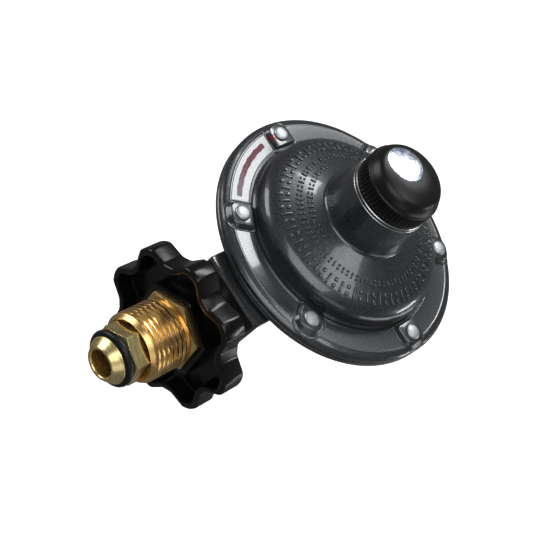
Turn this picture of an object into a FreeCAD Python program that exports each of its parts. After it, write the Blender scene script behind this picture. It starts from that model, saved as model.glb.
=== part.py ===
import FreeCAD, Part
import math
import os
import re
import Sketcher

# Low-pressure gas regulator with a riveted diaphragm casing, an inlet union with a
# handwheel on -X and a threaded outlet on +X.  +Z runs up the bonnet and the spring
# tower.  The origin is the centre of the flat foot under the lower casing.

doc = FreeCAD.newDocument("gas_regulator")

# ---------------------------------------------------------------- driving dimensions
# All in millimetres, angles in degrees.  Heights are measured from the foot.
SIZES = {
    # shared datum and casing stack
    "axis_height": 15.0, "foot_radius": 15.0, "rim_radius": 45.85, "rim_low": 24.8,
    "rim_high": 27.0, "diaphragm_thick": 0.5, "flange_face": 30.4, "flange_shoulder": 43.0,
    "flange_roll": 29.0, "chamber_radius": 32.8, "rivet_circle": 40.0,
    # lower casing bowl
    "bowl_neck": 36.2, "bowl_waist": 35.0, "bowl_knee": 31.5, "bowl_base": 25.5,
    "waist_height": 16.0, "knee_height": 9.5, "base_height": 5.0, "foot_step": 3.4,
    "bowl_wall": 2.5, "chamber_floor": 7.6,
    # inlet neck of the lower casing
    "neck_face": 49.3, "neck_width": 26.4, "neck_top": 24.4, "plate_thick": 2.2,
    "shelf_thick": 2.4, "neck_round": 11.0, "neck_bore": 6.8, "neck_bore_depth": 11.8,
    "passage_radius": 4.5, "boss_radius": 7.2, "boss_end": 5.0, "nozzle_thread": 5.0,
    "nozzle_seat_depth": 12.0, "edge_chamfer": 0.75,
    # outlet boss
    "outlet_end": 48.5, "outlet_radius": 11.5, "outlet_thread": 7.8, "outlet_depth": 15.0,
    "outlet_passage": 6.0,
    # bonnet
    "dome_foot": 35.3, "dome_foot_height": 30.6, "dome_side": 34.2, "dome_shoulder": 36.0,
    "dome_crest": 31.2, "crest_height": 38.9, "tower_foot": 15.6, "tower_foot_height": 44.0,
    "tower_radius": 14.1, "tower_top": 58.9, "bonnet_wall": 2.5, "tower_bore": 11.9,
    "lug_height": 32.0, "lug_half": 4.3, "lug_tip": 44.3, "lug_draft": 12.0,
    "vent_radius": 5.0, "vent_height": 34.2, "vent_end": 42.0, "vent_bore": 3.2,
    "vent_seat": 4.0, "vent_seat_depth": 2.2, "vent_reach": 30.0,
    # rivets
    "rivet_shank": 2.0, "rivet_head": 2.8, "rivet_crown": 1.3, "rivet_foot": 2.9,
    # diaphragm stack
    "diaphragm_edge": 45.3, "roll_radius": 29.0, "roll_half": 2.6, "roll_height": 2.2,
    "plate_radius": 25.0, "plate_gauge": 0.9, "plate_lip": 1.6, "washer_radius": 9.0,
    "washer_gauge": 1.0, "post_radius": 2.8, "post_foot": 21.7, "post_stem": 2.0,
    "post_top": 39.6, "window_low": 22.4, "window_high": 24.85, "window_half": 2.0,
    "relief_seat": 29.4, "relief_coil": 3.5, "relief_wire": 0.6, "relief_height": 7.2,
    "relief_pitch": 1.7, "retainer_radius": 4.6, "retainer_gauge": 1.3,
    # valve train
    "pivot_x": 14.0, "pivot_height": 19.2, "pin_radius": 1.0, "pin_half": 7.2,
    "lever_hub": 1.75, "lever_half": 1.7, "lever_gauge": 1.2, "lever_level": 23.6,
    "lever_slope": 0.105,
    "lever_tip": 2.0, "finger_half": 1.2, "finger_gauge": 0.9, "finger_low": 14.2,
    "stem_radius": 2.2, "stem_end": 17.4, "slot_half": 1.1, "slot_floor": 13.5,
    "holder_radius": 4.4, "holder_front": 1.9, "holder_back": 5.0, "disc_radius": 3.6,
    "disc_gap": 0.95, "disc_back": 3.0, "nozzle_hex": 11.0, "nozzle_lip": 2.2,
    "nozzle_hole": 1.2, "nozzle_inlet": 3.0, "nozzle_collar": 2.4, "nozzle_inlet_end": 8.0,
    # supports inside the chamber
    "guide_low": 7.0, "guide_high": 10.6, "guide_half": 5.0, "guide_top": 18.6,
    "post_near": 11.4, "post_far": 20.4, "post_inner": 3.6, "post_outer": 8.2,
    "post_level": 20.25, "running": 0.06, "pin_screw_x": 17.0, "pin_screw_y": 5.9,
    "screw_head": 2.3, "screw_head_high": 1.4, "screw_shank": 1.2, "screw_length": 7.0,
    # setting spring, adjuster and closing cap
    "spring_coil": 9.6, "spring_wire": 0.7, "spring_low": 28.45, "spring_high": 48.0,
    "spring_pitch": 3.0, "adjuster_radius": 11.6, "adjuster_top": 51.6, "adjuster_floor": 1.6,
    "adjuster_wall": 2.4, "adjuster_hex": 8.0, "cap_low": 59.1, "cap_radius": 13.7,
    "knurl_high": 65.4, "crown_radius": 13.0, "crown_shoulder": 67.4, "crown_top": 70.3,
    "crown_flat": 9.6, "cap_skirt": 11.6, "cap_skirt_low": 53.4, "cap_wall": 2.0,
    "label_radius": 6.4, "label_gauge": 0.12, "label_offset_y": 2.9, "label_offset_x": 0.5,
    # inlet nipple and nose seal (distances from the bonnet axis along -X)
    "nose_tip": 98.2, "nose_mouth": 5.5, "nose_bore": 4.4, "nose_root": 7.6,
    "nose_root_x": 95.2, "groove_radius": 6.4, "groove_back": 92.5, "nipple_hex": 16.6,
    "nipple_hex_back": 86.4, "shank_radius": 6.77, "nipple_end": 38.2, "ring_wire": 1.3,
    "screen_x": 60.0, "screen_gauge": 1.2,
    # union nut and handwheel
    "nut_front": 87.4, "nut_thread": 11.24, "nut_thread_end": 73.2, "nut_back": 66.2,
    "nut_hex": 22.2, "nut_bore": 7.2, "nut_recess": 9.9, "nut_recess_depth": 1.6,
    "nut_lead": 1.2, "wheel_front": 71.7, "wheel_back": 63.3, "lobe_radius": 26.5,
    "lobe_corner": 26.0, "lobe_corner_angle": 16.5, "valley_radius": 22.4,
    "valley_angle": 4.7, "dish_depth": 5.8, "collar_hex": 26.4,
    "collar_front": 70.8, "hub_radius": 9.8, "hub_back": 50.2, "hub_bore": 7.8,
    "lobe_pocket": 23.7, "dish_radius": 19.8,
    # vent screen
    "mesh_gauge": 0.5, "snap_width": 0.9, "snap_gauge": 0.8,
}
LOBES = 8
RIVETS = 6
FIRST_RIVET_ANGLE = 30.0

sheet = doc.addObject("Spreadsheet::Sheet", "dims")
for row, (alias, value) in enumerate(SIZES.items(), start=1):
    sheet.set("A%d" % row, alias.replace("_", " "))
    sheet.set("B%d" % row, repr(value))
    sheet.setAlias("B%d" % row, alias)
doc.recompute()


# ------------------------------------------------------------------ drawing helpers
def bound(text):
    """Writes each size's name in an expression as its cell of the sheet."""
    return re.sub(r"[a-z][a-z_]*", lambda m: "dims." + m[0] if m[0] in SIZES else m[0], text)


def size(text):
    """The value, in millimetres, of an expression in the sheet's names."""
    value = sheet.evalExpression(bound(text))
    return float(getattr(value, "Value", value))


def bind(obj, prop, text):
    obj.setExpression(prop, bound(text))


def new_body(name, height=None):
    """A sub-part; height lifts its own drawing frame to that level."""
    body = doc.addObject("PartDesign::Body", name)
    body.Label = name
    if height:
        bind(body, "Placement.Base.z", height)
    return body


def origin_feature(body, role):
    for feature in body.Origin.OriginFeatures:
        if feature.Role == role:
            return feature
    raise ValueError(role)


def new_sketch(body, plane, offset=None, shift_x=None):
    """A sketch on the body's own XY, XZ or YZ plane, moved along its normal."""
    sketch = body.newObject("Sketcher::SketchObject", "sketch_" + body.Name)
    sketch.AttachmentSupport = [(origin_feature(body, plane + "_Plane"), "")]
    sketch.MapMode = "FlatFace"
    if offset:
        bind(sketch, "AttachmentOffset.Base.z", offset)
    if shift_x:
        bind(sketch, "AttachmentOffset.Base.x", shift_x)
    return sketch


def fix_point(sketch, geometry, position, across, up):
    """Holds a point at (across, up), each an expression in the sheet's names."""
    for kind, text in (("DistanceX", across), ("DistanceY", up)):
        index = sketch.addConstraint(
            Sketcher.Constraint(kind, geometry, position, size(text)))
        sketch.setExpression("Constraints[%d]" % index, bound(text))


def outline(sketch, points):
    """A closed polygon whose corners are bound to the sheet."""
    places = [FreeCAD.Vector(size(across), size(up), 0) for across, up in points]
    first = sketch.GeometryCount
    count = len(places)
    for i in range(count):
        sketch.addGeometry(Part.LineSegment(places[i], places[(i + 1) % count]), False)
    for i in range(count):
        after = first + (i + 1) % count
        sketch.addConstraint(Sketcher.Constraint("Coincident", first + i, 2, after, 1))
        fix_point(sketch, first + i, 1, *points[i])


def circle(sketch, across, up, radius):
    centre = FreeCAD.Vector(size(across), size(up), 0)
    index = sketch.addGeometry(
        Part.Circle(centre, FreeCAD.Vector(0, 0, 1), size(radius)), False)
    fix_point(sketch, index, 3, across, up)
    rule = sketch.addConstraint(Sketcher.Constraint("Radius", index, size(radius)))
    sketch.setExpression("Constraints[%d]" % rule, bound(radius))


def hexagon(sketch, across, up, flats, turn=0.0):
    """A hexagon by its width across flats; turn is its first corner's angle."""
    points = []
    for i in range(6):
        angle = math.radians(turn + 60 * i)
        points.append((
            "%s + %.9f * %s" % (across, math.cos(angle) / math.sqrt(3), flats),
            "%s + %.9f * %s" % (up, math.sin(angle) / math.sqrt(3), flats)))
    outline(sketch, points)


def finish_feature(body, feature, sketch):
    feature.Profile = sketch
    sketch.Visibility = False
    body.Tip = feature
    return feature


def pad(body, sketch, length, both=False, down=False, draft=None):
    feature = body.newObject("PartDesign::Pad", "pad_" + body.Name)
    bind(feature, "Length", length)
    feature.Midplane = both
    feature.Reversed = down
    if draft:
        bind(feature, "TaperAngle", draft)
    return finish_feature(body, feature, sketch)


def cut(body, sketch, length, both=False, along=False):
    """Cuts against the sketch's normal, or along it."""
    feature = body.newObject("PartDesign::Pocket", "cut_" + body.Name)
    bind(feature, "Length", length)
    feature.Midplane = both
    feature.Reversed = along
    return finish_feature(body, feature, sketch)


def turn_about(body, sketch, axis, kind="Revolution"):
    feature = body.newObject("PartDesign::" + kind, "turn_" + body.Name)
    finish_feature(body, feature, sketch)
    feature.ReferenceAxis = (sketch, [axis])
    feature.Angle = 360.0
    return feature


def ring_pattern(body, feature, count, axis_role):
    pattern = body.newObject("PartDesign::PolarPattern", "ring_" + body.Name)
    pattern.Originals = [feature]
    pattern.Axis = (origin_feature(body, axis_role), [""])
    pattern.Angle = 360.0
    pattern.Occurrences = count
    body.Tip = pattern
    return pattern


def lathe_z(body, points, kind="Revolution"):
    """A profile of (radius, height) turned about +Z."""
    sketch = new_sketch(body, "XZ")
    outline(sketch, points)
    return turn_about(body, sketch, "V_Axis", kind)


def lathe_x(body, points, kind="Revolution"):
    """A profile of (x, radius) turned about the X axis of the body's own frame."""
    sketch = new_sketch(body, "XZ")
    outline(sketch, points)
    return turn_about(body, sketch, "H_Axis", kind)


def bore_x(body, start, length, radius, up="axis_height"):
    """A round hole along +X from x = start."""
    sketch = new_sketch(body, "YZ", start)
    circle(sketch, "0", up, radius)
    return cut(body, sketch, length, along=True)


def block(body, plane, points, offset, length, **options):
    sketch = new_sketch(body, plane, offset)
    outline(sketch, points)
    return pad(body, sketch, length, **options)


def rectangle(low_x, high_x, low_y, high_y):
    return [(low_x, low_y), (high_x, low_y), (high_x, high_y), (low_x, high_y)]


def polar(radius, angle, centre_angle):
    """A corner at a radius and at a whole number of degrees-from-centre expression."""
    return ("%s * cos(%s)" % (radius, "%g + %s" % (centre_angle, angle)),
            "%s * sin(%s)" % (radius, "%g + %s" % (centre_angle, angle)))


# ------------------------------------------------------------------------ casings
def make_lower_casing():
    """Die-cast bowl with the inlet neck, the outlet boss and the valve supports."""
    body = new_body("lower_casing")
    lathe_z(body, [
        ("0", "0"), ("foot_radius", "0"), ("foot_radius", "foot_step"),
        ("bowl_base - 8", "foot_step"), ("bowl_base", "base_height"),
        ("bowl_knee", "knee_height"), ("bowl_waist", "waist_height"),
        ("bowl_neck", "rim_low"), ("rim_radius - 0.5", "rim_low"),
        ("rim_radius", "rim_low + 0.5"), ("rim_radius", "rim_high - 0.3"),
        ("rim_radius - 0.3", "rim_high"), ("0", "rim_high")])
    block(body, "XZ", rectangle("-neck_face", "-neck_face + plate_thick + 18",
                                "neck_top - shelf_thick", "neck_top"),
          None, "neck_width", both=True)
    block(body, "YZ", [
        ("-neck_width / 2", "neck_top"), ("-neck_width / 2", "axis_height - 7"),
        ("-neck_width / 2 + 5", "axis_height - 12.6"),
        ("neck_width / 2 - 5", "axis_height - 12.6"),
        ("neck_width / 2", "axis_height - 7"), ("neck_width / 2", "neck_top")],
        "-neck_face", "plate_thick")
    for start, reach, radius in (("-neck_face", "neck_face - 25", "neck_round"),
                                 ("25", "outlet_end - 25", "outlet_radius")):
        sketch = new_sketch(body, "YZ", start)
        circle(sketch, "0", "axis_height", radius)
        pad(body, sketch, reach)
    lathe_z(body, [
        ("0", "chamber_floor"), ("bowl_base - 1.4", "chamber_floor"),
        ("bowl_knee - bowl_wall", "knee_height + 1.2"),
        ("bowl_waist - bowl_wall", "waist_height"),
        ("chamber_radius", "rim_low"), ("chamber_radius", "rim_high + 1"),
        ("0", "rim_high + 1")], kind="Groove")
    sketch = new_sketch(body, "YZ", "-33")
    circle(sketch, "0", "axis_height", "boss_radius")
    pad(body, sketch, "33 - boss_end")
    block(body, "XY", rectangle("guide_low", "guide_high", "-guide_half", "guide_half"),
          "chamber_floor - 1", "guide_top - chamber_floor + 1")
    for side in ("", "-"):
        block(body, "XY", rectangle("post_near", "post_far", side + "post_inner",
                                    side + "post_outer"),
              "chamber_floor - 1", "post_level - chamber_floor + 1")
    slot = new_sketch(body, "XZ")
    outline(slot, rectangle("pivot_x - pin_radius", "pivot_x + pin_radius",
                            "pivot_height", "post_level + 1"))
    cut(body, slot, "2 * post_outer + 2", both=True)
    seat = new_sketch(body, "XZ")
    circle(seat, "pivot_x", "pivot_height", "pin_radius")
    cut(body, seat, "2 * post_outer + 2", both=True)
    screws = new_sketch(body, "XY", "post_level + 1")
    for side in ("", "-"):
        circle(screws, "pin_screw_x", side + "pin_screw_y", "screw_shank")
    cut(body, screws, "screw_length + 1")
    bore_x(body, "guide_low - 1", "guide_high - guide_low + 2", "stem_radius + running")
    bore_x(body, "-neck_face - 1", "neck_bore_depth + 1", "neck_bore")
    bore_x(body, "-neck_face + neck_bore_depth - 1", "neck_face - neck_bore_depth",
           "passage_radius")
    bore_x(body, "-boss_end - nozzle_seat_depth", "nozzle_seat_depth + 1", "nozzle_thread")
    bore_x(body, "28", "outlet_end - 27", "outlet_passage")
    bore_x(body, "outlet_end - outlet_depth", "outlet_depth + 1", "outlet_thread")
    drilled = drill_rivet_holes(body, "rim_high + 1", "rim_high - rim_low + 2")
    doc.recompute()
    edges = []
    for i, edge in enumerate(drilled.Shape.Edges, start=1):
        middle = edge.CenterOfMass
        on_face = abs(middle.x + size("neck_face")) < 0.01
        if on_face and abs(middle.z - size("neck_top")) < 0.01:
            edges.append("Edge%d" % i)
    chamfer = body.newObject("PartDesign::Chamfer", "chamfer_" + body.Name)
    chamfer.Base = (drilled, edges)
    bind(chamfer, "Size", "edge_chamfer")
    body.Tip = chamfer
    return body


def drill_rivet_holes(body, top, depth):
    sketch = new_sketch(body, "XY", top)
    for i in range(RIVETS):
        angle = math.radians(FIRST_RIVET_ANGLE + 360.0 * i / RIVETS)
        circle(sketch, "rivet_circle * %.9f" % math.cos(angle),
               "rivet_circle * %.9f" % math.sin(angle), "rivet_shank + 0.02")
    return cut(body, sketch, depth)


def make_bonnet():
    """Upper die-casting: flange with six rivet lugs, dome, vent boss, spring tower."""
    body = new_body("bonnet")
    low = "rim_high + diaphragm_thick"
    lathe_z(body, [
        ("0", low), ("rim_radius - 0.2", low), ("rim_radius", low + " + 0.2"),
        ("rim_radius", "flange_roll"), ("rim_radius - 0.9", "flange_face - 0.55"),
        ("flange_shoulder", "flange_face"), ("dome_foot", "flange_face"),
        ("dome_foot", "dome_foot_height"), ("dome_side + 0.4", "dome_foot_height + 0.4"),
        ("dome_side", "dome_shoulder - 1"), ("dome_side - 0.8", "dome_shoulder + 1.2"),
        ("dome_crest", "crest_height"), ("22.5", "tower_foot_height - 2.2"),
        ("tower_foot + 0.8", "tower_foot_height - 0.4"),
        ("tower_foot - 0.1", "tower_foot_height + 0.9"),
        ("tower_radius", "tower_top"), ("0", "tower_top")])
    sketch = new_sketch(body, "YZ", "vent_reach")
    circle(sketch, "0", "vent_height", "vent_radius")
    pad(body, sketch, "vent_end - vent_reach")
    lug = new_sketch(body, "XY", "flange_roll + 0.1")
    outline(lug, [
        ("chamber_radius + 1", "-lug_half - 1"), ("lug_tip - 3.2", "-lug_half - 1"),
        ("lug_tip - 0.6", "-lug_half + 1.4"), ("lug_tip + 1", "-1.6"),
        ("lug_tip + 1", "1.6"), ("lug_tip - 0.6", "lug_half - 1.4"),
        ("lug_tip - 3.2", "lug_half + 1"), ("chamber_radius + 1", "lug_half + 1")])
    lug.AttachmentOffset = FreeCAD.Placement(
        lug.AttachmentOffset.Base,
        FreeCAD.Rotation(FreeCAD.Vector(0, 0, 1), FIRST_RIVET_ANGLE))
    first = pad(body, lug, "lug_height - flange_roll - 0.1", draft="-lug_draft")
    ring_pattern(body, first, RIVETS, "Z_Axis")
    inner = "crest_height - bonnet_wall"
    lathe_z(body, [
        ("0", "rim_high - 1"), ("chamber_radius", "rim_high - 1"),
        ("chamber_radius", "flange_face"), ("dome_side - bonnet_wall", "dome_shoulder - 2"),
        ("dome_crest - 1.6", inner), ("22.0", "tower_foot_height - 2.2 - bonnet_wall"),
        ("tower_bore + 2.2", "tower_foot_height - bonnet_wall"),
        ("tower_bore", "tower_foot_height"), ("tower_bore", "tower_top + 1"),
        ("0", "tower_top + 1")], kind="Groove")
    bore_x(body, "vent_reach - 2", "vent_end - vent_reach + 3", "vent_bore", "vent_height")
    bore_x(body, "vent_end - vent_seat_depth", "vent_seat_depth + 1", "vent_seat",
           "vent_height")
    drill_rivet_holes(body, "lug_height + 1", "lug_height - rim_high + 2")
    return body


def make_rivets():
    """Six solid rivets that close the casing; a domed head on top, a flat one below."""
    body = new_body("casing_rivets")
    body.AllowCompound = True
    sketch = new_sketch(body, "XZ", None, "rivet_circle")
    outline(sketch, [
        ("0", "rim_low - 1.2"), ("rivet_foot - 0.4", "rim_low - 1.2"),
        ("rivet_foot", "rim_low - 0.7"), ("rivet_foot", "rim_low"),
        ("rivet_shank", "rim_low"), ("rivet_shank", "lug_height"),
        ("rivet_head", "lug_height"), ("rivet_head", "lug_height + rivet_crown * 0.45"),
        ("rivet_head * 0.8", "lug_height + rivet_crown * 0.85"),
        ("rivet_head * 0.45", "lug_height + rivet_crown"),
        ("0", "lug_height + rivet_crown")])
    first = turn_about(body, sketch, "V_Axis")
    ring_pattern(body, first, RIVETS, "Z_Axis")
    body.Placement = FreeCAD.Placement(
        FreeCAD.Vector(), FreeCAD.Rotation(FreeCAD.Vector(0, 0, 1), FIRST_RIVET_ANGLE))
    return body


# ---------------------------------------------------------------- diaphragm stack
def make_diaphragm():
    """Fabric-reinforced rubber disc with one rolled convolution, clamped at its rim."""
    body = new_body("diaphragm")
    low = "rim_high"
    high = "rim_high + diaphragm_thick"
    inner = "roll_radius - roll_half"
    outer = "roll_radius + roll_half"
    lathe_z(body, [
        ("post_stem + 0.05", low), (inner, low), (inner + " + 0.5", low + " + roll_height * 0.8"),
        ("roll_radius - 1", low + " + roll_height"), ("roll_radius + 1", low + " + roll_height"),
        (outer + " - 0.5", low + " + roll_height * 0.8"), (outer, low),
        ("diaphragm_edge", low), ("diaphragm_edge", high), (outer + " + 0.4", high),
        (outer + " - 0.1", high + " + roll_height * 0.8"),
        ("roll_radius + 1.2", high + " + roll_height"),
        ("roll_radius - 1.2", high + " + roll_height"),
        (inner + " + 0.1", high + " + roll_height * 0.8"), (inner + " - 0.4", high),
        ("post_stem + 0.05", high)])
    drill_rivet_holes(body, "rim_high + 3", "4")
    return body


def make_plate():
    """Pressed steel pan that spreads the setting spring's load on the diaphragm."""
    body = new_body("diaphragm_plate")
    low = "rim_high + diaphragm_thick"
    lathe_z(body, [
        ("post_stem + 0.05", low), ("plate_radius - 1", low), ("plate_radius", low + " + 0.4"),
        ("plate_radius", low + " + plate_lip"), ("plate_radius - plate_gauge", low + " + plate_lip"),
        ("plate_radius - plate_gauge", low + " + plate_gauge"),
        ("post_stem + 0.05", low + " + plate_gauge")])
    return body


def make_washer():
    body = new_body("diaphragm_washer")
    lathe_z(body, [
        ("post_stem + 0.05", "rim_high - washer_gauge"),
        ("washer_radius", "rim_high - washer_gauge"), ("washer_radius", "rim_high"),
        ("post_stem + 0.05", "rim_high")])
    return body


def make_post():
    """Centre post: a windowed foot for the lever below, a stem for the relief spring."""
    body = new_body("centre_post")
    lathe_z(body, [
        ("0", "post_foot"), ("post_radius", "post_foot"),
        ("post_radius", "rim_high - washer_gauge"), ("post_stem", "rim_high - washer_gauge"),
        ("post_stem", "post_top - 0.5"), ("post_stem - 0.5", "post_top"), ("0", "post_top")])
    window = new_sketch(body, "YZ")
    outline(window, rectangle("-window_half", "window_half", "window_low", "window_high"))
    cut(body, window, "3 * post_radius", both=True)
    return body


def make_retainer():
    """Cup nut on the post that holds the relief spring."""
    body = new_body("relief_retainer")
    base = "relief_seat + relief_height"
    lathe_z(body, [
        ("post_stem + 0.02", base), ("retainer_radius", base),
        ("retainer_radius", base + " + retainer_gauge"),
        ("post_stem + 0.02", base + " + retainer_gauge")])
    return body


def make_relief_seat():
    """Small guide washer between the pan and the relief spring."""
    body = new_body("relief_washer")
    low = "rim_high + diaphragm_thick + plate_gauge"
    lathe_z(body, [
        ("post_stem + 0.05", low), ("retainer_radius", low),
        ("retainer_radius", "relief_seat"), ("post_stem + 0.05", "relief_seat")])
    return body


def make_coil(name, coil, wire, low, high, pitch):
    """A round-wire compression spring between two heights."""
    body = new_body(name)
    sketch = new_sketch(body, "XZ")
    circle(sketch, coil, low + " + " + wire, wire)
    helix = body.newObject("PartDesign::AdditiveHelix", "helix_" + name)
    finish_feature(body, helix, sketch)
    helix.ReferenceAxis = (sketch, ["V_Axis"])
    helix.Mode = "pitch-height-angle"
    bind(helix, "Pitch", pitch)
    bind(helix, "Height", high + " - " + low + " - 2 * " + wire)
    return body


# -------------------------------------------------------------------- valve train
def make_lever():
    """Bell crank: a long arm under the diaphragm post, a short finger in the stem."""
    body = new_body("lever")
    top = "lever_level + lever_gauge / 2"
    under = "lever_level - lever_gauge / 2"
    fall = " - lever_slope * lever_tip"
    block(body, "XZ", [
        ("-lever_tip", under + fall), ("pivot_x - 6", under + " + lever_slope * (pivot_x - 6)"),
        ("pivot_x - 1.6", "pivot_height + 0.6"), ("pivot_x", "pivot_height + 0.2"),
        ("pivot_x + 1.4", "pivot_height + 1"),
        ("pivot_x - 5", top + " + lever_slope * (pivot_x - 5)"),
        ("-lever_tip", top + fall)], None, "2 * lever_half", both=True)
    hub = new_sketch(body, "XZ")
    circle(hub, "pivot_x", "pivot_height", "lever_hub")
    pad(body, hub, "2 * lever_half + 3", both=True)
    block(body, "XZ", rectangle("pivot_x - finger_gauge / 2", "pivot_x + finger_gauge / 2",
                                "finger_low", "pivot_height"),
          None, "2 * finger_half", both=True)
    eye = new_sketch(body, "XZ")
    circle(eye, "pivot_x", "pivot_height", "pin_radius + running")
    cut(body, eye, "4 * lever_half", both=True)
    return body


def make_lever_pin():
    body = new_body("lever_pin")
    sketch = new_sketch(body, "XZ")
    circle(sketch, "pivot_x", "pivot_height", "pin_radius - 0.01")
    pad(body, sketch, "2 * pin_half", both=True)
    return body


def make_pin_screws():
    """Two pan-head screws whose heads keep the lever pin in its seats."""
    body = new_body("pin_screws")
    body.AllowCompound = True
    for side in ("", "-"):
        head = new_sketch(body, "XY", "post_level")
        circle(head, "pin_screw_x", side + "pin_screw_y", "screw_head")
        pad(body, head, "screw_head_high")
        shank = new_sketch(body, "XY", "post_level")
        circle(shank, "pin_screw_x", side + "pin_screw_y", "screw_shank - 0.02")
        pad(body, shank, "screw_length - 0.5", down=True)
        slot = new_sketch(body, "XY", "post_level + screw_head_high")
        outline(slot, rectangle("pin_screw_x - screw_head - 1", "pin_screw_x + screw_head + 1",
                                side + "pin_screw_y - 0.3", side + "pin_screw_y + 0.3"))
        cut(body, slot, "0.7")
    return body


def make_valve_stem():
    """Sliding stem with a cup for the seat disc and a slot for the lever's finger."""
    body = new_body("valve_stem", "axis_height")
    lathe_x(body, [
        ("holder_front", "0"), ("holder_front", "holder_radius"),
        ("holder_back", "holder_radius"), ("holder_back", "stem_radius"),
        ("stem_end", "stem_radius"), ("stem_end", "0")])
    lathe_x(body, [
        ("holder_front - 1", "0"), ("holder_front - 1", "disc_radius + 0.02"),
        ("disc_back", "disc_radius + 0.02"), ("disc_back", "0")], kind="Groove")
    slot = new_sketch(body, "XZ")
    outline(slot, rectangle("pivot_x - slot_half", "pivot_x + slot_half",
                            "slot_floor - axis_height", "stem_radius + 1"))
    cut(body, slot, "2 * finger_half + 0.8", both=True)
    return body


def make_seat_disc():
    body = new_body("seat_disc", "axis_height")
    lathe_x(body, [("disc_gap", "0"), ("disc_gap", "disc_radius"),
                   ("disc_back", "disc_radius"), ("disc_back", "0")])
    return body


def make_nozzle():
    """Brass orifice screwed into the inlet boss, its lip facing the seat disc."""
    body = new_body("orifice_nozzle", "axis_height")
    start = "-boss_end - nozzle_seat_depth"
    collar = "-boss_end + nozzle_collar"
    lathe_x(body, [
        (start, "nozzle_inlet"), (start, "nozzle_thread - 0.02"),
        ("-boss_end", "nozzle_thread - 0.02"), (collar, "nozzle_thread - 0.4"),
        ("-0.8", "nozzle_lip + 0.9"), ("0", "nozzle_lip"), ("0", "nozzle_hole"),
        ("-nozzle_inlet_end", "nozzle_hole"), ("-nozzle_inlet_end", "nozzle_inlet")])
    hexes = new_sketch(body, "YZ", "-boss_end")
    hexagon(hexes, "0", "0", "nozzle_hex")
    circle(hexes, "0", "0", "nozzle_inlet")
    pad(body, hexes, "nozzle_collar")
    return body


# ----------------------------------------------------------- spring tower and cap
def make_adjuster():
    """Threaded spring seat in the tower, turned with a hexagon key."""
    body = new_body("adjusting_screw")
    lathe_z(body, [
        ("0", "spring_high"), ("adjuster_radius", "spring_high"),
        ("adjuster_radius", "adjuster_top"),
        ("adjuster_radius - adjuster_wall", "adjuster_top"),
        ("adjuster_radius - adjuster_wall", "spring_high + adjuster_floor"),
        ("0", "spring_high + adjuster_floor")])
    key = new_sketch(body, "XY", "spring_high + adjuster_floor + 1")
    hexagon(key, "0", "0", "adjuster_hex")
    cut(body, key, "adjuster_floor + 3")
    return body


def make_cap():
    """Moulded closing cap: knurled grip ring, domed crown, threaded skirt."""
    body = new_body("closing_cap")
    lathe_z(body, [
        ("cap_skirt - cap_wall", "cap_skirt_low"), ("cap_skirt", "cap_skirt_low"),
        ("cap_skirt", "cap_low"), ("cap_radius", "cap_low"), ("cap_radius", "knurl_high"),
        ("crown_radius", "knurl_high"), ("crown_radius - 0.7", "crown_shoulder"),
        ("crown_flat", "crown_top - 0.1"), ("crown_flat - 0.6", "crown_top"),
        ("0", "crown_top"), ("0", "crown_top - cap_wall"),
        ("crown_flat - 1.2", "crown_top - cap_wall"),
        ("cap_skirt - cap_wall", "crown_shoulder - cap_wall - 0.6")])
    return body


def make_label():
    """Thin foil disc stuck off-centre on the flat of the cap."""
    body = new_body("cap_label")
    sketch = new_sketch(body, "XY", "crown_top")
    circle(sketch, "-label_offset_x", "label_offset_y", "label_radius")
    pad(body, sketch, "label_gauge")
    return body


# ------------------------------------------------------------------- vent screen
def make_vent_parts():
    screen = new_body("vent_screen", "vent_height")
    seat = "vent_end - vent_seat_depth"
    lathe_x(screen, [(seat, "0"), (seat, "vent_seat - 0.05"),
                     (seat + " + mesh_gauge", "vent_seat - 0.05"),
                     (seat + " + mesh_gauge", "0")])
    ring = new_body("vent_snap_ring", "vent_height")
    near = seat + " + mesh_gauge"
    far = seat + " + mesh_gauge + snap_gauge"
    lathe_x(ring, [(near, "vent_seat - snap_width"), (near, "vent_seat - 0.02"),
                   (far, "vent_seat - 0.02"), (far, "vent_seat - snap_width")])
    return [screen, ring]


# --------------------------------------------------------- inlet union, on the X axis
def make_nipple():
    """Brass inlet nipple: conical nose, seal groove, hexagon head, long shank."""
    body = new_body("inlet_nipple", "axis_height")
    lathe_x(body, [
        ("-nose_tip + 0.3", "nose_bore"), ("-nose_tip", "nose_bore + 0.3"),
        ("-nose_tip", "nose_mouth"), ("-nose_root_x - 0.5", "nose_root - 0.4"),
        ("-nose_root_x", "nose_root"), ("-nose_root_x", "groove_radius"),
        ("-groove_back", "groove_radius"), ("-groove_back", "shank_radius"),
        ("-nipple_end", "shank_radius"), ("-nipple_end", "nose_bore")])
    head = new_sketch(body, "YZ", "-groove_back")
    hexagon(head, "0", "0", "nipple_hex", 20.0)
    circle(head, "0", "0", "nose_bore + 1")
    pad(body, head, "groove_back - nipple_hex_back")
    return body


def make_nose_ring():
    """Rubber ring in the nose groove that seals on the cylinder valve."""
    ring = doc.addObject("Part::Torus", "nose_seal_ring")
    ring.Label = "nose_seal_ring"
    bind(ring, "Radius1", "groove_radius + ring_wire + 0.02")
    bind(ring, "Radius2", "ring_wire")
    ring.Placement = FreeCAD.Placement(
        FreeCAD.Vector(), FreeCAD.Rotation(FreeCAD.Vector(0, 1, 0), 90))
    bind(ring, "Placement.Base.x", "-(nose_root_x + groove_back) / 2")
    bind(ring, "Placement.Base.z", "axis_height")
    return ring


def make_inlet_screen():
    body = new_body("inlet_screen", "axis_height")
    lathe_x(body, [("-screen_x", "0"), ("-screen_x", "nose_bore - 0.02"),
                   ("-screen_x + screen_gauge", "nose_bore - 0.02"),
                   ("-screen_x + screen_gauge", "0")])
    return body


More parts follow.
